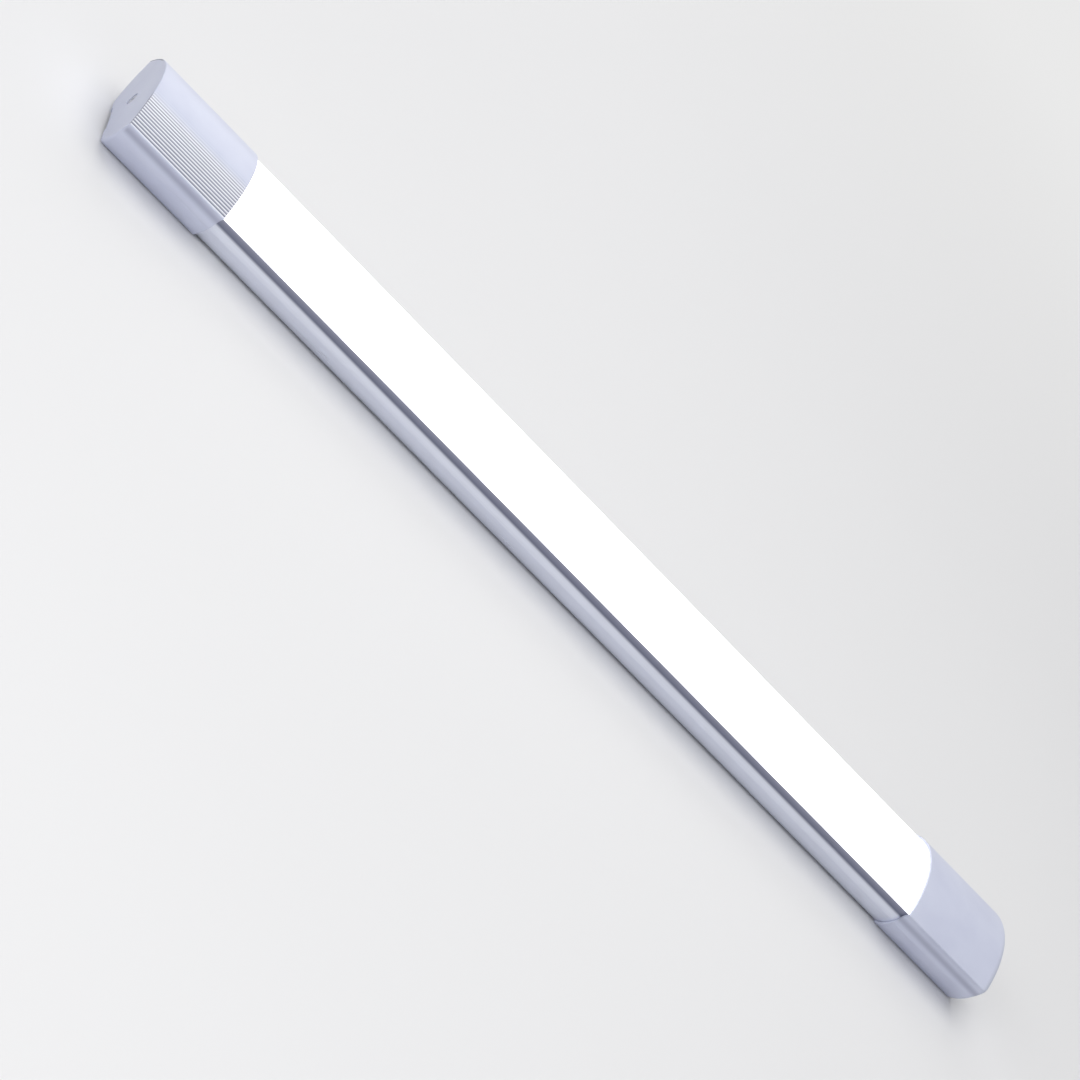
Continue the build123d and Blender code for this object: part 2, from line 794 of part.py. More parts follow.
# Mounting clips: a bent strip whose pad lies flat on the ceiling and whose wings hook the rail
clip_web_y = opening_half_width - clip_side_gap - clip_thickness / 2
clip_wing_y = channel_half_width - clip_side_gap
for clip_name, clip_x in (
    ("supply_mounting_clip", -clip_spacing / 2),
    ("far_mounting_clip", clip_spacing / 2),
):
    with BuildPart() as mounting_clip:
        with BuildSketch(Plane.YZ.offset(clip_x - clip_length / 2)):
            with BuildLine():
                FilletPolyline(
                    (-clip_wing_y, lip_top_z + clip_thickness / 2),
                    (-clip_web_y, lip_top_z + clip_thickness / 2),
                    (-clip_web_y, clip_thickness / 2),
                    (clip_web_y, clip_thickness / 2),
                    (clip_web_y, lip_top_z + clip_thickness / 2),
                    (clip_wing_y, lip_top_z + clip_thickness / 2),
                    radius=clip_bend_radius,
                )
            trace(line_width=clip_thickness)
        extrude(amount=clip_length)
        with Locations((clip_x, 0, clip_thickness)):
            Hole(clip_hole_radius, depth=clip_thickness)
    mounting_clip.part.label = clip_name
    export_step(mounting_clip.part, f"parts/{clip_name}.step")
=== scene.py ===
import json
from math import asin, atan2, cos, pi, radians, sin, sqrt

import bpy
from mathutils import Matrix, Vector


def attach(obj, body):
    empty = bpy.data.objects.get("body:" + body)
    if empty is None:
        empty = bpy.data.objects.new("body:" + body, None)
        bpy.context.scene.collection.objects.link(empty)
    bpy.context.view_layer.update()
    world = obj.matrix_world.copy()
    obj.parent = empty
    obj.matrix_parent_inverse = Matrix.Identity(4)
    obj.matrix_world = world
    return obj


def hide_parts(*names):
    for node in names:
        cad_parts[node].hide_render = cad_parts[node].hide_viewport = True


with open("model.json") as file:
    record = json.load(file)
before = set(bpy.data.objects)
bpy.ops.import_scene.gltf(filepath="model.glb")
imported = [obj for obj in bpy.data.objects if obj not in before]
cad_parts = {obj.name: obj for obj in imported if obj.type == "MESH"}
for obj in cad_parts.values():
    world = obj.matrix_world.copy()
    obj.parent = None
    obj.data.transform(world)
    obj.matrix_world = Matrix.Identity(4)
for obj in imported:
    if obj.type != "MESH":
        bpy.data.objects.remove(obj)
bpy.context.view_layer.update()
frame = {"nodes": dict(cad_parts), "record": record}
nodes = frame["nodes"]
mm = 0.001
tiny = 0.01 * mm
past = 0.5  # how far a cutter or a boss reaches past the face it meets, in mm
print("frame loaded:", len(nodes), "nodes")


# The camera comes first: the lamp seen from its near side, with the camera rolled over
viewer = {
    "azimuth": -20.443, "elevation": 19.883, "roll": 52.637,  # degrees
    "distance": 1.972, "aim": (-0.0146, 0.0, 0.0078), "lens": 139.81,
}


def placeCamera():
    turn, lift, roll = (radians(viewer[key]) for key in ("azimuth", "elevation", "roll"))
    back = Vector((cos(lift) * sin(turn), -cos(lift) * cos(turn), sin(lift)))
    bpy.ops.object.camera_add(location=Vector(viewer["aim"]) + back * viewer["distance"])
    camera = bpy.context.object
    camera.rotation_mode = "QUATERNION"
    facing = back.to_track_quat("Z", "Y")
    camera.rotation_quaternion = facing @ Matrix.Rotation(roll, 3, "Z").to_quaternion()
    camera.data.lens = viewer["lens"]
    camera.data.sensor_width = 36
    camera.data.sensor_fit = "HORIZONTAL"
    bpy.context.scene.camera = camera


placeCamera()


# Shader maths: a Reading wraps a socket, and the operators add Math nodes
class Reading:
    def __init__(self, shading, socket):
        self.shading = shading
        self.socket = socket

    def maths(self, operation, *values):
        return self.shading.node("ShaderNodeMath", {"operation": operation}, values)

    def __add__(self, other):
        return self.maths("ADD", self, other)

    def __sub__(self, other):
        return self.maths("SUBTRACT", self, other)

    def __rsub__(self, other):
        return self.maths("SUBTRACT", other, self)

    def __mul__(self, other):
        return self.maths("MULTIPLY", self, other)

    def __pow__(self, other):
        return self.maths("POWER", self, other)

    def size(self):
        return self.maths("ABSOLUTE", self)

    __radd__ = __add__
    __rmul__ = __mul__


class Shading:
    def __init__(self, owner):
        owner.use_nodes = True
        self.tree = owner.node_tree

    def node(self, kind, settings=None, sockets=(), output=0):
        made = self.tree.nodes.new(kind)
        for key, value in (settings or {}).items():
            setattr(made, key, value)
        pairs = sockets.items() if isinstance(sockets, dict) else enumerate(sockets)
        for key, value in pairs:
            self.feed(made.inputs[key], value)
        return Reading(self, made.outputs[output])

    def feed(self, socket, value):
        if isinstance(value, Reading):
            self.tree.links.new(value.socket, socket)
        else:
            socket.default_value = value

    def mixShaders(self, factor, first, second, output):
        mixed = self.node("ShaderNodeMixShader", sockets=(factor, first, second))
        self.feed(self.tree.nodes[output].inputs["Surface"], mixed)

    def seenDirectly(self):
        camera = self.node("ShaderNodeLightPath", output="Is Camera Ray")
        glossy = self.node("ShaderNodeLightPath", output="Is Glossy Ray")
        return camera.maths("MAXIMUM", camera, glossy)


class Finish(Shading):
    def __init__(self, name):
        self.material = bpy.data.materials.new(name)
        super().__init__(self.material)
        self.shader = self.tree.nodes["Principled BSDF"]
        self.place = self.node("ShaderNodeTexCoord", output="Object")

    def set(self, **sockets):
        for key, value in sockets.items():
            self.feed(self.shader.inputs[key.replace("_", " ")], value)

    def stretched(self, scale):
        return self.node("ShaderNodeMapping", sockets={"Vector": self.place, "Scale": scale})

    def split(self, axis):
        return self.node("ShaderNodeSeparateXYZ", sockets=(self.place,), output=axis)

    def noise(self, size, detail=3, vector=None):
        return self.node("ShaderNodeTexNoise", sockets={
            "Vector": vector or self.place, "Scale": 1 / size, "Detail": detail,
        })

    def spread(self, value, low, high, into=(0, 1), kind="LINEAR"):
        settings = {"clamp": True, "interpolation_type": kind}
        return self.node("ShaderNodeMapRange", settings, (value, low, high, *into))

    def ease(self, value, low, high, into=(0, 1)):
        return self.spread(value, low, high, into, "SMOOTHSTEP")

    def blend(self, factor, first, second):
        mixed = self.node("ShaderNodeMix", {"data_type": "RGBA"}, output=2)
        mix = mixed.socket.node
        self.feed(mix.inputs["Factor"], factor)
        for key, colour in ((6, first), (7, second)):
            self.feed(mix.inputs[key], colour if isinstance(colour, Reading) else (*colour, 1))
        return mixed

    def relief(self, height, strength, distance):
        return self.node("ShaderNodeBump", sockets={
            "Height": height, "Strength": strength, "Distance": distance,
        })


finishes = {}


def keep(finish, slot):
    finishes[slot] = finish.material
    return finish.material


# Satin anodised extrusion: fine die lines along the rail and a soft mottle in the anodising, with a
# darker band of painted shade in the hollow under the arch
rail = {
    "silver": (0.86, 0.89, 0.98), "shade": (0.80, 0.825, 0.92), "metal": 0.8,
    "roughness": (0.27, 0.35), "mottle": 14 * mm, "mottleAlong": 0.25,
    "dieLine": 0.35 * mm, "lineAlong": 0.004, "lineDepth": 0.003 * mm, "lineShare": 0.6,
    # Colours of the painted shade in the hollow under the arch: darkest low in the hollow, a little
    # lighter by the lip
    "hollow": (0.17, 0.18, 0.25), "shadeTop": (0.36, 0.37, 0.46), "leadShare": 0.20,
    "heights": {"lead": 13.0 * mm, "edge": 15.4 * mm, "full": 17.3 * mm, "top": 21.0 * mm},
}


def anodisedRail():
    finish = Finish("anodised_rail")
    lines = finish.noise(rail["dieLine"], 2, finish.stretched((rail["lineAlong"], 1, 1)))
    mottle = finish.noise(rail["mottle"], 3, finish.stretched((rail["mottleAlong"], 1, 1)))
    share = rail["lineShare"]
    tone = finish.spread(lines * share + mottle * (1 - share), 0.35, 0.65)
    height = finish.split("Z")
    at = rail["heights"]
    # Painted shade: from the swell's top up to the lip the rail's colour darkens to the hollow's
    # painted shade
    lead = finish.ease(height, at["lead"], at["full"])
    edge = finish.ease(height, at["edge"], at["full"])
    shadeBand = lead * rail["leadShare"] + edge * (1 - rail["leadShare"])
    upper = finish.spread(height, at["full"], at["top"])
    hollow = finish.blend(upper, rail["hollow"], rail["shadeTop"])
    skin = finish.blend(tone, rail["shade"], rail["silver"])
    finish.set(
        Base_Color=finish.blend(shadeBand, skin, hollow),
        Metallic=rail["metal"],
        Roughness=finish.spread(mottle + lines * 0.3, 0.4, 0.9, rail["roughness"]),
        Normal=finish.relief(lines, 0.5, rail["lineDepth"]),
    )
    return keep(finish, "anodised_rail")


# Opal arch, lit from behind
arch = {
    "skin": ((0.93, 0.935, 0.94), (0.96, 0.965, 0.97)), "roughness": 0.35,
    "glow": ((0.985, 0.99, 0.995), (1.0, 1.0, 1.0)), "strength": 1.0,
    "grain": 0.6 * mm, "grainDepth": 0.01 * mm,
}


def opalArch():
    finish = Finish("opal_arch")
    grain = finish.noise(arch["grain"], 2)
    tone = finish.spread(grain, 0.3, 0.7)
    finish.set(
        Base_Color=finish.blend(tone, *arch["skin"]),
        Emission_Color=finish.blend(tone, *arch["glow"]),
        Emission_Strength=arch["strength"],
        Roughness=arch["roughness"],
        Normal=finish.relief(grain, 0.15, arch["grainDepth"]),
    )
    return keep(finish, "opal_arch")


# The moulded caps, in mm. One grid is wrapped round the section: from the inside of the end wall
# along the inner skin to the open end, back over the outer skin and round the edge to the end face
capForm = {
    "halfLength": 300.0, "length": 60.0, "height": 37.5, "halfWidth": 37.5,
    "domeRadius": 54.0, "rimHeight": 0.6, "rimRound": 0.26,
    "railRadius": 31.35, "railInset": 0.5, "railRise": 4.9, "railEndDrop": 10.9,
    "swellDrop": 5.95, "swellInset": 0.6, "footRound": 1.8, "footRoundInside": 0.2,
    "recessHalf": 12.5, "recessDepth": 3.0, "wall": 1.2, "endWall": 2.8,
    "openEdge": 0.15, "cornerSoft": 1.8,  # how much rounder a corner gets than its edge is deep
    "lipY": 35.55, "lipLow": 20.75, "lipSeat": 21.45,
    "screwHeight": 17.0, "sink": (3.4, 2.2), "screwHole": 1.9, "boss": (5.0, 2.0),
    "domeSteps": 72, "crownSteps": 12, "coveSteps": 10, "swellSteps": 8, "sideSteps": 18,
    "rimSteps": 3, "footSteps": 6, "roundSteps": 8,
}
fluting = {"count": 16, "pitch": 1.55, "start": 1.3, "depth": 0.62, "steps": 8}
capEnds = {  # edge: the end edge's rounding at the dome and at the foot
    "supply_end_cap": {"side": -1, "fluted": True, "edge": (0.5, 2.6)},
    "plain_end_cap": {"side": 1, "fluted": False, "edge": (4.8, 4.0)},
}
domeCentre = Vector((0, capForm["height"] - capForm["domeRadius"]))
shoulderAngle = asin(capForm["halfWidth"] / capForm["domeRadius"])
shoulderZ = domeCentre.y + capForm["domeRadius"] * cos(shoulderAngle)
railCentre = Vector((
    capForm["halfWidth"] - capForm["railInset"] - capForm["railRadius"],
    shoulderZ + capForm["railRise"],
))


# Moulded cap plastic: a pale lilac grey with a fine spark-eroded grain, with painted shade along
# the hollow under the rim, and on the fluted cap a painted highlight on the flutes' crests and
# painted shade in their valleys
cap = {
    "pale": (0.60, 0.63, 0.765), "deep": (0.56, 0.588, 0.73), "cloud": 18 * mm,
    "grain": 0.22 * mm, "grainDepth": 0.012 * mm, "roughness": (0.40, 0.50),
    # The flutes' crests get a painted highlight and their valleys painted shade; the hollow under
    # the rim gets painted shade
    "crestHighlight": (0.86, 0.87, 0.94), "valleyShade": (0.24, 0.25, 0.33), "coveShade": (0.395, 0.415, 0.53),
    "shadeSides": (32.0 * mm, 33.5 * mm), "shadeEnd": (299.9 * mm, 298.0 * mm),
    "fluteSkin": (1.1 * mm, 0.8 * mm), "fluteLeast": 0.05 * mm, "fluteTone": (0.1, 0.9),
    "fluteFade": (0.5, 8.0), "fluteRim": (0.1, 0.6),  # in mm, from the last flute and from the rim
}
# Where the band of painted shade lies on each cap
capHollows = {  # height of the hollow's middle and half its width, in mm
    "cap_plastic": (16.4, 3.2), "cap_fluted": (18.4, 3.4),
}


def capPlastic(slot, fluted):
    finish = Finish(slot)
    grain = finish.noise(cap["grain"], 2)
    cloud = finish.noise(cap["cloud"], 2)
    tone = finish.spread(cloud * 0.7 + grain * 0.3, 0.35, 0.65)
    skin = finish.blend(tone, cap["deep"], cap["pale"])
    # Painted shade along the hollow under the rim
    skin = finish.blend(hollowShade(finish, *capHollows[slot]), skin, cap["coveShade"])
    if fluted:
        # Painted highlight on the flutes' crests and painted shade in their valleys
        fade, deep = fluteLightAndShade(finish)
        skin = finish.blend(fade, skin, finish.blend(deep, cap["crestHighlight"], cap["valleyShade"]))
    finish.set(
        Base_Color=skin,
        Roughness=finish.spread(grain, 0.3, 0.7, cap["roughness"]),
        Normal=finish.relief(grain, 0.35, cap["grainDepth"]),
    )
    return keep(finish, slot)


def hollowShade(finish, middle, half):
    # A soft band of painted shade on the sides only, which stops at the end face
    along, across, height = (finish.split(axis).size() for axis in "XYZ")
    shadeBand = finish.ease((height - middle * mm).size(), half * mm, 0)
    sides = finish.ease(across, *cap["shadeSides"])
    return shadeBand * sides * finish.ease(along, *cap["shadeEnd"])


def fluteLightAndShade(finish):
    # How strongly the flutes' painted highlight and painted shade show at a point, and how deep it
    # lies in its own flute
    across, height = finish.split("Y").size(), finish.split("Z")
    above = height - domeCentre.y * mm
    below = capForm["domeRadius"] * mm - (across * across + above * above) ** 0.5
    fromRim = (shoulderAngle - across.maths("ARCTAN2", across, above)) * capForm["domeRadius"]
    start, whole = fluting["start"], fluting["count"] * fluting["pitch"]
    depths = (fluting["depth"] * mm, cap["fluteLeast"])
    local = finish.spread(fromRim, start, start + whole, depths)
    ends = (whole - off for off in cap["fluteFade"])
    fade = finish.ease(fromRim, *ends) * finish.spread(fromRim, *cap["fluteRim"])
    deep = finish.spread(below.maths("DIVIDE", below, local), *cap["fluteTone"])
    return fade * finish.spread(below, *cap["fluteSkin"]), deep


# The other finishes share one recipe: two tones in a noise of the real grain's size
grained = {
    "zinc_steel": {
        "tones": ((0.50, 0.51, 0.53), (0.68, 0.69, 0.71)), "size": 0.8 * mm, "metal": 1,
        "roughness": (0.24, 0.42), "depth": 0.01 * mm,
    },
    "cap_screw_steel": {
        "tones": ((0.44, 0.45, 0.51), (0.56, 0.57, 0.64)), "size": 0.6 * mm, "metal": 1,
        "roughness": (0.42, 0.55), "depth": 0.01 * mm,
    },
    "clip_steel": {
        "tones": ((0.52, 0.53, 0.54), (0.68, 0.69, 0.70)), "size": 2.5 * mm, "metal": 1,
        "roughness": (0.26, 0.44), "depth": 0.01 * mm, "stretch": (1, 0.08, 1),
    },
    "board_white": {
        "tones": ((0.84, 0.84, 0.83), (0.90, 0.90, 0.89)), "size": 1.5 * mm, "metal": 0,
        "roughness": (0.30, 0.42), "depth": 0.01 * mm,
    },
    "chip_phosphor": {
        "tones": ((0.88, 0.70, 0.16), (0.96, 0.84, 0.30)), "size": 0.5 * mm, "metal": 0,
        "roughness": (0.18, 0.30), "depth": 0.01 * mm,
    },
    "tray_plastic": {
        "tones": ((0.78, 0.78, 0.75), (0.86, 0.86, 0.84)), "size": 3 * mm, "metal": 0,
        "roughness": (0.40, 0.55), "depth": 0.02 * mm,
    },
    "board_green": {
        "tones": ((0.02, 0.16, 0.06), (0.05, 0.28, 0.11)), "size": 1.2 * mm, "metal": 0,
        "roughness": (0.22, 0.35), "depth": 0.03 * mm,
    },
    "fuse_ceramic": {
        "tones": ((0.76, 0.73, 0.62), (0.86, 0.83, 0.74)), "size": 0.6 * mm, "metal": 0,
        "roughness": (0.45, 0.62), "depth": 0.02 * mm,
    },
    "varistor_blue": {
        "tones": ((0.03, 0.09, 0.34), (0.06, 0.15, 0.46)), "size": 0.8 * mm, "metal": 0,
        "roughness": (0.38, 0.52), "depth": 0.03 * mm,
    },
    "ferrite": {
        "tones": ((0.05, 0.05, 0.055), (0.10, 0.10, 0.105)), "size": 0.4 * mm, "metal": 0,
        "roughness": (0.50, 0.68), "depth": 0.03 * mm,
    },
    "film_red": {
        "tones": ((0.34, 0.035, 0.025), (0.46, 0.06, 0.04)), "size": 1.0 * mm, "metal": 0,
        "roughness": (0.20, 0.32), "depth": 0.02 * mm,
    },
    "chip_black": {
        "tones": ((0.014, 0.014, 0.016), (0.03, 0.03, 0.033)), "size": 0.3 * mm, "metal": 0,
        "roughness": (0.45, 0.60), "depth": 0.01 * mm,
    },
    "sleeve_black": {
        "tones": ((0.012, 0.012, 0.016), (0.025, 0.025, 0.03)), "size": 2 * mm, "metal": 0,
        "roughness": (0.16, 0.28), "depth": 0.01 * mm,
    },
    "terminal_nylon": {
        "tones": ((0.80, 0.80, 0.75), (0.88, 0.88, 0.84)), "size": 1.4 * mm, "metal": 0,
        "roughness": (0.36, 0.50), "depth": 0.01 * mm,
    },
    "brown_wire": {
        "tones": ((0.12, 0.045, 0.02), (0.16, 0.065, 0.03)), "size": 1 * mm, "metal": 0,
        "roughness": (0.28, 0.38), "depth": 0.01 * mm,
    },
    "blue_wire": {
        "tones": ((0.02, 0.07, 0.34), (0.03, 0.10, 0.42)), "size": 1 * mm, "metal": 0,
        "roughness": (0.28, 0.38), "depth": 0.01 * mm,
    },
    "green_yellow_wire": {
        "tones": ((0.05, 0.28, 0.04), (0.72, 0.62, 0.05)), "size": 2.2 * mm, "metal": 0,
        "roughness": (0.28, 0.38), "depth": 0.01 * mm,
    },
    "red_wire": {
        "tones": ((0.42, 0.02, 0.015), (0.52, 0.035, 0.025)), "size": 1 * mm, "metal": 0,
        "roughness": (0.28, 0.38), "depth": 0.01 * mm,
    },
    "black_wire": {
        "tones": ((0.012, 0.012, 0.012), (0.022, 0.022, 0.022)), "size": 1 * mm, "metal": 0,
        "roughness": (0.28, 0.38), "depth": 0.01 * mm,
    },
    "tinned_brass": {
        "tones": ((0.60, 0.58, 0.50), (0.76, 0.74, 0.68)), "size": 0.8 * mm, "metal": 1,
        "roughness": (0.22, 0.38), "depth": 0.01 * mm,
    },
    "grommet_rubber": {
        "tones": ((0.018, 0.018, 0.019), (0.035, 0.035, 0.036)), "size": 0.5 * mm, "metal": 0,
        "roughness": (0.55, 0.72), "depth": 0.02 * mm,
    },
}


def grainedFinish(slot, look):
    finish = Finish(slot)
    grain = finish.noise(look["size"], 3, finish.stretched(look.get("stretch", (1, 1, 1))))
    tone = finish.spread(grain, 0.35, 0.65)
    finish.set(
        Base_Color=finish.blend(tone, *look["tones"]), Metallic=look["metal"],
        Roughness=finish.spread(grain, 0.3, 0.7, look["roughness"]),
        Normal=finish.relief(grain, 0.4, look["depth"]),
    )
    return keep(finish, slot)


def dressNodes():
    anodisedRail()
    opalArch()
    capPlastic("cap_plastic", False)
    capPlastic("cap_fluted", True)
    for slot, look in grained.items():
        grainedFinish(slot, look)
    for entry in frame["record"]["subparts"]:
        mesh = nodes[entry["node"]].data
        mesh.materials.clear()
        mesh.materials.append(finishes[entry["material_slot"]])


dressNodes()
print("finishes made:", len(finishes))


def tangentArc(start, heading, end, steps):
    # Points from start to end on the arc that leaves start along heading, then the heading at its
    # end, and the arc's centre and radius
    across = end - start
    turn = 2 * atan2(heading.x * across.y - heading.y * across.x, heading.dot(across))
    aside = Vector((-heading.y, heading.x))
    radius = across.length_squared / (2 * across.dot(aside))
    centre = start + aside * radius
    turns = (Matrix.Rotation(turn * step / steps, 2) for step in range(steps + 1))
    points = [centre + turned @ (start - centre) for turned in turns]
    return points, Matrix.Rotation(turn, 2) @ heading, centre, abs(radius)


def cornerRound(before, corner, after, size, steps):
    first = corner + (before - corner).normalized() * size
    last = corner + (after - corner).normalized() * size
    return [
        first * (1 - t) ** 2 + corner * (2 * t * (1 - t)) + last * t ** 2
        for t in (step / steps for step in range(steps + 1))
    ]


def railPoint(radius, z):
    return Vector((railCentre.x + sqrt(radius ** 2 - (z - railCentre.y) ** 2), z))


def railSide(inset, lowZ, top):
    # The side from the foot up: long arc, swell and hollow band
    radius = capForm["railRadius"] - inset
    endZ = shoulderZ - capForm["railEndDrop"]
    steps = capForm["sideSteps"]
    long = [railPoint(radius, lowZ + (endZ - lowZ) * step / steps) for step in range(steps + 1)]
    spoke = (long[-1] - railCentre).normalized()
    swellZ = shoulderZ - capForm["swellDrop"]
    swellEnd = railPoint(radius, swellZ) - Vector((capForm["swellInset"], 0))
    heading = Vector((-spoke.y, spoke.x))
    swell, heading, _, _ = tangentArc(long[-1], heading, swellEnd, capForm["swellSteps"])
    cove, _, centre, coveRadius = tangentArc(swellEnd, heading, top, capForm["coveSteps"])
    return long + swell[1:] + cove[1:], centre, coveRadius


def fluteDepth(distance):
    # Cosine flutes, each one shallower than the one outside it
    step = round((distance - fluting["start"]) / fluting["pitch"])
    if not 0 <= step < fluting["count"]:
        return 0
    off = (distance - fluting["start"] - step * fluting["pitch"]) / fluting["pitch"]
    return fluting["depth"] * (1 - step / fluting["count"]) * (0.5 + 0.5 * cos(2 * pi * off))


def domeDistances(fluted):
    # Distances from the rim along the arch, from the crown out
    whole = capForm["domeRadius"] * shoulderAngle
    if not fluted:
        steps = capForm["domeSteps"]
        return [whole * (1 - step / steps) for step in range(steps)]
    inner = fluting["start"] + (fluting["count"] - 0.5) * fluting["pitch"]
    steps = fluting["count"] * fluting["steps"]
    outer = fluting["start"] - fluting["pitch"] / 2
    crownSteps = capForm["crownSteps"]
    crown = [whole + (inner - whole) * step / crownSteps for step in range(crownSteps)]
    return crown + [inner + (outer - inner) * step / steps for step in range(steps + 1)]


def domeArc(radius, widest, distances, fluted):
    whole = capForm["domeRadius"] * shoulderAngle
    points = []
    for distance in distances:
        angle = widest * (1 - distance / whole)
        deep = fluteDepth(distance) if fluted else 0
        points.append(domeCentre + Vector((sin(angle), cos(angle))) * (radius - deep))
    return points


def outerSection(fluted):
    form = capForm
    rimTop = Vector((form["halfWidth"], shoulderZ))
    rimLow = Vector((form["halfWidth"], shoulderZ - form["rimHeight"]))
    side, coveCentre, coveRadius = railSide(0, 0, rimLow)
    dome = domeArc(form["domeRadius"], shoulderAngle, domeDistances(fluted), fluted)
    rim = cornerRound(dome[-1], rimTop, rimLow, form["rimRound"], form["rimSteps"])
    rim += cornerRound(rimTop, rimLow, side[-2], form["rimRound"], form["rimSteps"])
    half, deep = form["recessHalf"], form["recessDepth"]
    recess = [Vector(spot) for spot in ((half, 0), (half, deep), (0, deep))]
    foot = cornerRound(side[1], side[0], recess[0], form["footRound"], form["footSteps"])
    points = dome + rim + side[-2:1:-1] + foot + recess
    return points, coveCentre, coveRadius


def innerSection(fluted, coveCentre, coveRadius):
    form = capForm
    wall = form["wall"]
    sideY = form["halfWidth"] - wall
    radius = form["domeRadius"] - wall
    widest = asin(sideY / radius)
    reach = (coveRadius + wall) ** 2 - (form["lipLow"] - coveCentre.y) ** 2
    hollow = coveCentre.x - sqrt(reach)
    side, _, _ = railSide(wall, wall, Vector((hollow, form["lipLow"])))
    dome = domeArc(radius, widest, domeDistances(fluted), False)
    corners = [
        (sideY, domeCentre.y + radius * cos(widest)), (sideY, form["lipSeat"]),
        (form["lipY"], form["lipSeat"]), (form["lipY"], form["lipLow"]),
    ]
    # Each corner is repeated, so that this rim has as many points as the outer one
    repeats = (form["rimSteps"] + 1) // 2
    rim = [Vector(corner) for corner in corners for _ in range(repeats)]
    recessY, recessZ = form["recessHalf"] + wall, form["recessDepth"] + wall
    recess = [Vector(spot) for spot in ((recessY, wall), (recessY, recessZ), (0, recessZ))]
    foot = cornerRound(side[1], side[0], recess[0], form["footRoundInside"], form["footSteps"])
    return dome + rim + side[-2:1:-1] + foot + recess


def circleThrough(a, b, c):
    # Centre and radius of the circle through three points
    spread = 2 * (a.x * (b.y - c.y) + b.x * (c.y - a.y) + c.x * (a.y - b.y))
    squares = [p.length_squared for p in (a, b, c)]
    x = squares[0] * (b.y - c.y) + squares[1] * (c.y - a.y) + squares[2] * (a.y - b.y)
    y = squares[0] * (c.x - b.x) + squares[1] * (a.x - c.x) + squares[2] * (b.x - a.x)
    centre = Vector((x / spread, y / spread))
    return centre, (a - centre).length


def circlesMeet(first, firstRadius, second, secondRadius):
    # Where two circles meet, on the side away from the lamp's middle
    line = second - first
    along = (firstRadius ** 2 - secondRadius ** 2 + line.length_squared) / (2 * line.length)
    way = line.normalized()
    aside = Vector((-way.y, way.x)) * sqrt(firstRadius ** 2 - along ** 2)
    spots = [first + way * along + aside * turn for turn in (1, -1)]
    return max(spots, key=lambda spot: spot.x)


def turnsRight(first, second):
    return first.x * second.y - first.y * second.x < 0


def roundedIn(point, inset):
    # Pulls a point of the skin into the rounded end form, which is the skin's outline drawn in by
    # inset with its corners softened
    sideTop = Vector((capForm["halfWidth"], shoulderZ))
    sideLow = (railPoint(capForm["railRadius"], z) for z in (shoulderZ - capForm["railEndDrop"], 0))
    sideCentre, sideRadius = circleThrough(sideTop, *sideLow)
    soft = capForm["cornerSoft"] * inset
    dome, side, low = capForm["domeRadius"] - inset, sideRadius - inset, inset + soft
    shoulder = circlesMeet(domeCentre, dome - soft, sideCentre, side - soft)
    foot = Vector((sideCentre.x + sqrt((side - soft) ** 2 - (low - sideCentre.y) ** 2), low))
    corners = (
        (shoulder, shoulder - domeCentre, shoulder - sideCentre),
        (foot, foot - sideCentre, Vector((0, -1))),
    )
    for centre, start, end in corners:
        arm = point - centre
        if turnsRight(start, arm) and turnsRight(arm, end):
            return centre + arm * min(1, soft / arm.length)
    for centre, radius in ((domeCentre, dome), (sideCentre, side)):
        arm = point - centre
        point = centre + arm * min(1, radius / arm.length)
    return Vector((point.x, max(point.y, inset)))


def wrapGrid(name, rows):
    # A grid with one column for each point round the section and one row for each ring
    columns = len(rows[0])
    bpy.ops.mesh.primitive_grid_add(x_subdivisions=columns, y_subdivisions=len(rows) - 1, size=2)
    piece = bpy.context.object
    piece.name = name
    for vertex in piece.data.vertices:
        column = round((vertex.co.x + 1) / 2 * columns) % columns
        row = round((vertex.co.y + 1) / 2 * (len(rows) - 1))
        vertex.co = Vector(rows[row][column]) * mm
    bpy.ops.object.mode_set(mode="EDIT")
    bpy.ops.mesh.select_all(action="SELECT")
    bpy.ops.mesh.remove_doubles(threshold=tiny)
    for end in (rows[0], rows[-1]):
        fillRing(piece, end[0][0] * mm)
    bpy.ops.mesh.select_all(action="SELECT")
    bpy.ops.mesh.normals_make_consistent(inside=False)
    bpy.ops.object.mode_set(mode="OBJECT")
    return piece


def fillRing(piece, x):
    # Closes the open ring at a place along the lamp
    bpy.ops.mesh.select_mode(type="EDGE")
    bpy.ops.mesh.select_all(action="DESELECT")
    bpy.ops.mesh.select_non_manifold(
        extend=False, use_wire=False, use_multi_face=False, use_non_contiguous=False,
        use_verts=False,
    )
    bpy.ops.object.mode_set(mode="OBJECT")
    mesh = piece.data
    for edge in mesh.edges:
        ends = [mesh.vertices[i].co.x for i in edge.vertices]
        edge.select = edge.select and all(abs(end - x) < tiny for end in ends)
    bpy.ops.object.mode_set(mode="EDIT")
    bpy.ops.mesh.edge_face_add()


def pick(piece):
    bpy.ops.object.select_all(action="DESELECT")
    bpy.context.view_layer.objects.active = piece
    piece.select_set(True)


def combine(piece, other, operation):
    # Adds another solid to the piece, or cuts it out
    pick(piece)
    joined = piece.modifiers.new("joined", "BOOLEAN")
    joined.operation, joined.solver, joined.object = operation, "EXACT", other
    bpy.ops.object.modifier_apply(modifier="joined")
    bpy.data.objects.remove(other)


def roundBar(radius, x0, x1, vertices=64):
    # A plain round bar along the lamp, at the screws' height
    bpy.ops.mesh.primitive_cylinder_add(
        vertices=vertices, radius=radius * mm, depth=abs(x1 - x0) * mm, rotation=(0, pi / 2, 0),
        location=((x0 + x1) / 2 * mm, 0, capForm["screwHeight"] * mm),
    )
    return bpy.context.object


def settle(piece, node, crease=32):
    # Puts a finished piece's place into its mesh, smooths it and hands it to the frame
    pick(piece)
    bpy.ops.object.transform_apply(location=True, rotation=True, scale=True)
    bpy.ops.object.shade_smooth_by_angle(angle=radians(crease))
    piece.data.materials.clear()
    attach(piece, "root")
    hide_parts(node)


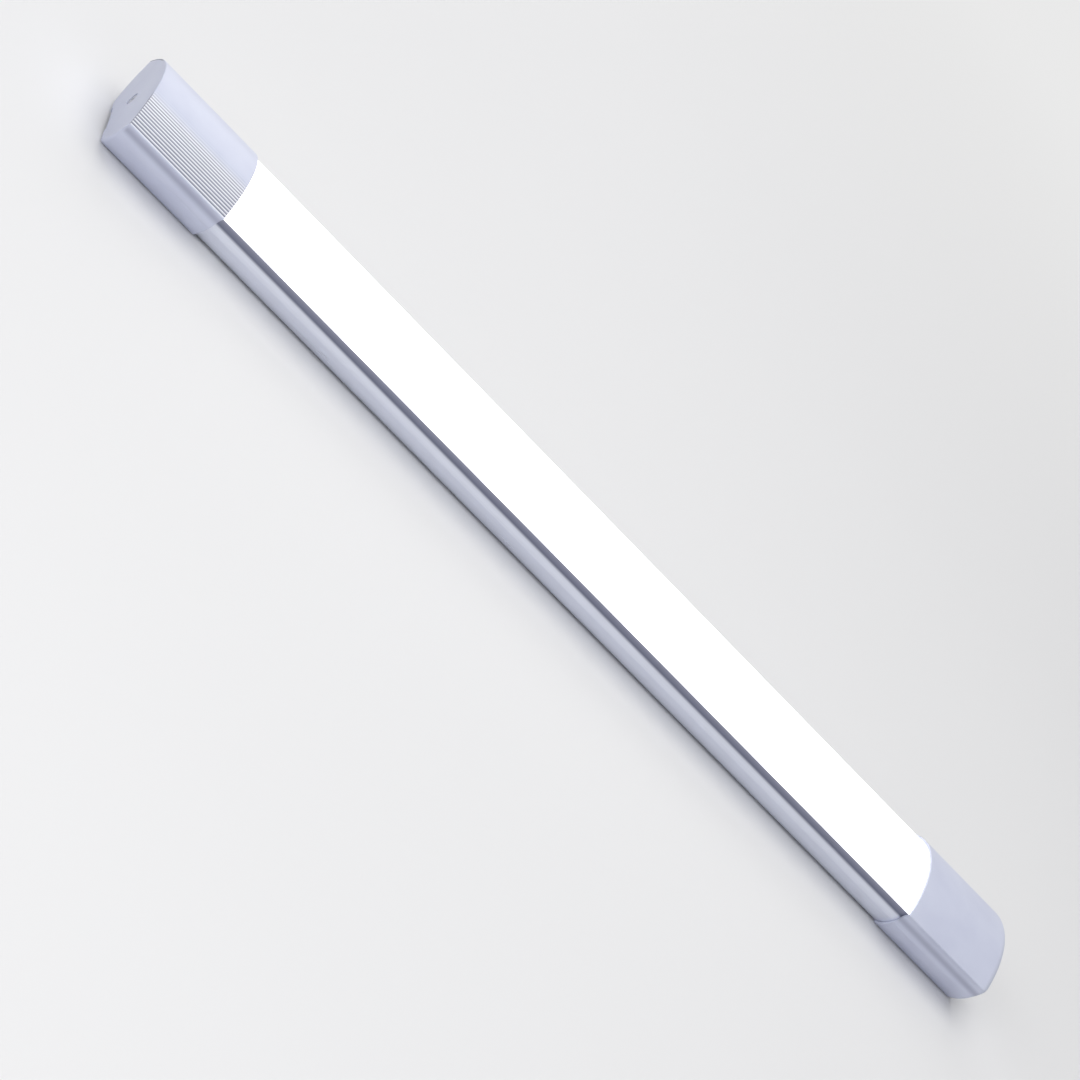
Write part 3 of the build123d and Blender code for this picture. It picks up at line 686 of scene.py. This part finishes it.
def capRows(end):
    # The rings of the cap's grid, from the inside of the end wall round to the end face
    outer, coveCentre, coveRadius = outerSection(end["fluted"])
    inner = innerSection(end["fluted"], coveCentre, coveRadius)
    half = len(outer)
    mirrored = list(range(half)) + list(range(half - 2, 0, -1))
    wayAcross = [1] * half + [-1] * (half - 2)
    tip, side = capForm["halfLength"], end["side"]
    openEnd = tip - capForm["length"]

    def ring(points, x):
        return [(side * (x[i] if isinstance(x, list) else x), way * points[i].x, points[i].y)
                for i, way in zip(mirrored, wayAcross)]

    shoulder = len(domeDistances(end["fluted"]))
    atDome, atFoot = end["edge"]
    below = [max(0, i - shoulder) / (half - shoulder) for i in range(half)]
    edges = [atDome + (atFoot - atDome) * share for share in below]
    small = capForm["openEdge"]
    rows = [ring(inner, tip - capForm["endWall"]), ring(inner, openEnd)]
    rows.append(ring([roundedIn(point, small) for point in outer], openEnd))
    rows.append(ring(outer, openEnd + small))
    for step in range(capForm["roundSteps"] + 1):
        turn = pi / 2 * step / capForm["roundSteps"]
        points = [roundedIn(point, edge * (1 - cos(turn))) for point, edge in zip(outer, edges)]
        rows.append(ring(points, [tip - edge * (1 - sin(turn)) for edge in edges]))
    return rows


def seatScrew(piece, side):
    # A boss behind the end wall, then the sunk seat and the screw's hole
    bossRadius, bossLength = capForm["boss"]
    sinkRadius, sinkDepth = capForm["sink"]
    tip = capForm["halfLength"]
    inside, outside = tip - capForm["endWall"], tip + 2 * past
    boss = roundBar(bossRadius, side * (inside - bossLength), side * (inside + past))
    combine(piece, boss, "UNION")
    sink = roundBar(sinkRadius, side * (tip - sinkDepth), side * outside)
    combine(piece, sink, "DIFFERENCE")
    hole = roundBar(capForm["screwHole"], side * (inside - capForm["endWall"]), side * outside, 40)
    combine(piece, hole, "DIFFERENCE")


def mouldCap(node, end):
    piece = wrapGrid(node + "_moulding", capRows(end))
    seatScrew(piece, end["side"])
    settle(piece, node)
    piece.data.materials.append(finishes["cap_fluted" if end["fluted"] else "cap_plastic"])


for node, end in capEnds.items():
    mouldCap(node, end)
print("caps moulded")


# Cap screws: pan heads with a cross recess, sunk in the caps' end faces
capScrew = {
    "head": (3.0, 2.0), "headRound": 1.0, "headSteps": 6, "headProfile": 0.55,
    "shank": (1.35, 14.0), "tip": 0.6, "tipShare": 0.6, "sides": 48,
    "cross": (3.4, 0.8, 1.2), "crossNarrow": 0.7,
}
screwEnds = {"supply_cap_screw": -1, "plain_cap_screw": 1}


def pickFaces(piece, direction):
    # Goes to edit mode with the furthest faces selected that look one way along the lamp
    bpy.ops.object.mode_set(mode="EDIT")
    bpy.ops.mesh.select_mode(type="FACE")
    bpy.ops.mesh.select_all(action="DESELECT")
    bpy.ops.object.mode_set(mode="OBJECT")
    flat = [face for face in piece.data.polygons if direction * face.normal.x > 0.99]
    reach = max(direction * face.center.x for face in flat)
    for face in flat:
        face.select = direction * face.center.x > reach - tiny
    bpy.ops.object.mode_set(mode="EDIT")


def crossBlade(side, top, turn):
    # One blade of the cross recess, narrower at its bottom
    width, slot, depth = capScrew["cross"]
    bpy.ops.mesh.primitive_cube_add(size=1)
    blade = bpy.context.object
    for vertex in blade.data.vertices:
        deep = vertex.co.x * side < 0
        share = capScrew["crossNarrow"] if deep else 1
        along = top - depth if deep else top + past
        spot = (side * along, vertex.co.y * width * share, vertex.co.z * slot * share)
        vertex.co = Vector(spot) * mm
    blade.rotation_euler = (turn, 0, 0)
    blade.location = (0, 0, capForm["screwHeight"] * mm)
    bpy.context.view_layer.update()
    return blade


def turnScrew(node, side):
    radius, height = capScrew["head"]
    shankRadius, shankLength = capScrew["shank"]
    seat = capForm["halfLength"] - capForm["sink"][1]
    piece = roundBar(radius, side * seat, side * (seat + height), capScrew["sides"])
    piece.name = node + "_turned"
    bpy.ops.object.transform_apply(location=True, rotation=True, scale=True)
    pickFaces(piece, side)
    bpy.ops.mesh.region_to_loop()
    bpy.ops.mesh.bevel(
        offset=capScrew["headRound"] * mm, segments=capScrew["headSteps"],
        profile=capScrew["headProfile"], affect="EDGES",
    )
    bpy.ops.object.mode_set(mode="OBJECT")
    pickFaces(piece, -side)
    bpy.ops.mesh.inset(thickness=(radius - shankRadius) * mm)
    for length in (shankLength - capScrew["tip"], capScrew["tip"]):
        move = {"value": (-side * length * mm, 0, 0)}
        bpy.ops.mesh.extrude_region_move(TRANSFORM_OT_translate=move)
    bpy.ops.transform.resize(value=(1, capScrew["tipShare"], capScrew["tipShare"]))
    bpy.ops.object.mode_set(mode="OBJECT")
    for turn in (pi / 4, pi * 3 / 4):
        combine(piece, crossBlade(side, seat + height, turn), "DIFFERENCE")
    settle(piece, node)
    piece.data.materials.append(finishes["cap_screw_steel"])


for node, side in screwEnds.items():
    turnScrew(node, side)
print("screws turned")


# A plain pale floor under the caps' feet, a wide soft lamp overhead and a dim room around it.
# The camera and glossy rays see a pale background past the floor's edge
studio = {
    "floorSize": 12.0, "floorTones": ((0.80, 0.80, 0.81), (0.82, 0.82, 0.83)),
    "roomLight": 0.20, "background": 0.82, "floorFade": (0.5, 1.8),
    "lamps": {  # place, width, watts
        "over": ((-0.1, 0.30, 1.8), 2.0, 16),
        "front": ((-0.1, -0.8, 1.6), 1.6, 7),
        "low": ((0.0, -1.9, 0.6), 1.2, 5),
        "near": ((-1.2, -1.3, 0.9), 1.0, 8.5),
        "end": ((-1.9, -0.2, 0.9), 1.0, 4),
        "far": ((0.0, 1.6, 1.0), 1.2, 7),
    },
}


def floorFinish():
    # Past the lamps' reach, the camera and glossy rays see the floor at the background's tone
    finish = Finish("floor_pale")
    cloud = finish.noise(0.4, 2)
    finish.set(Base_Color=finish.blend(cloud, *studio["floorTones"]), Roughness=0.8)
    across, along = finish.split("X"), finish.split("Y")
    far = finish.ease((across * across + along * along) ** 0.5, *studio["floorFade"])
    plain = studio["background"]
    glow = finish.node("ShaderNodeEmission", sockets={"Color": (plain, plain, plain, 1)})
    lit = Reading(finish, finish.shader.outputs[0])
    finish.mixShaders(far * finish.seenDirectly(), lit, glow, "Material Output")
    return finish.material


def lightRoom():
    world = bpy.data.worlds.new("studio_air")
    bpy.context.scene.world = world
    air = Shading(world)
    white = (1, 1, 1, 1)
    room = air.tree.nodes["Background"]
    air.feed(room.inputs["Color"], white)
    air.feed(room.inputs["Strength"], studio["roomLight"])
    backdrop = air.node("ShaderNodeBackground", sockets=(white, studio["background"]))
    lit = Reading(air, room.outputs[0])
    air.mixShaders(air.seenDirectly(), lit, backdrop, "World Output")


def buildStudio():
    bpy.ops.mesh.primitive_plane_add(size=studio["floorSize"])
    floor = bpy.context.object
    floor.name = "studio_floor"
    floor.data.materials.append(floorFinish())
    for name, (place, width, watts) in studio["lamps"].items():
        bpy.ops.object.light_add(type="AREA", location=place)
        lamp = bpy.context.object
        lamp.name = name + "_lamp"
        lamp.data.shape = "DISK"
        lamp.data.size = width
        lamp.data.energy = watts
        lamp.rotation_euler = Vector(place).to_track_quat("Z", "Y").to_euler()
    lightRoom()
    bpy.context.scene.view_settings.view_transform = "Standard"


buildStudio()
print("studio lit")
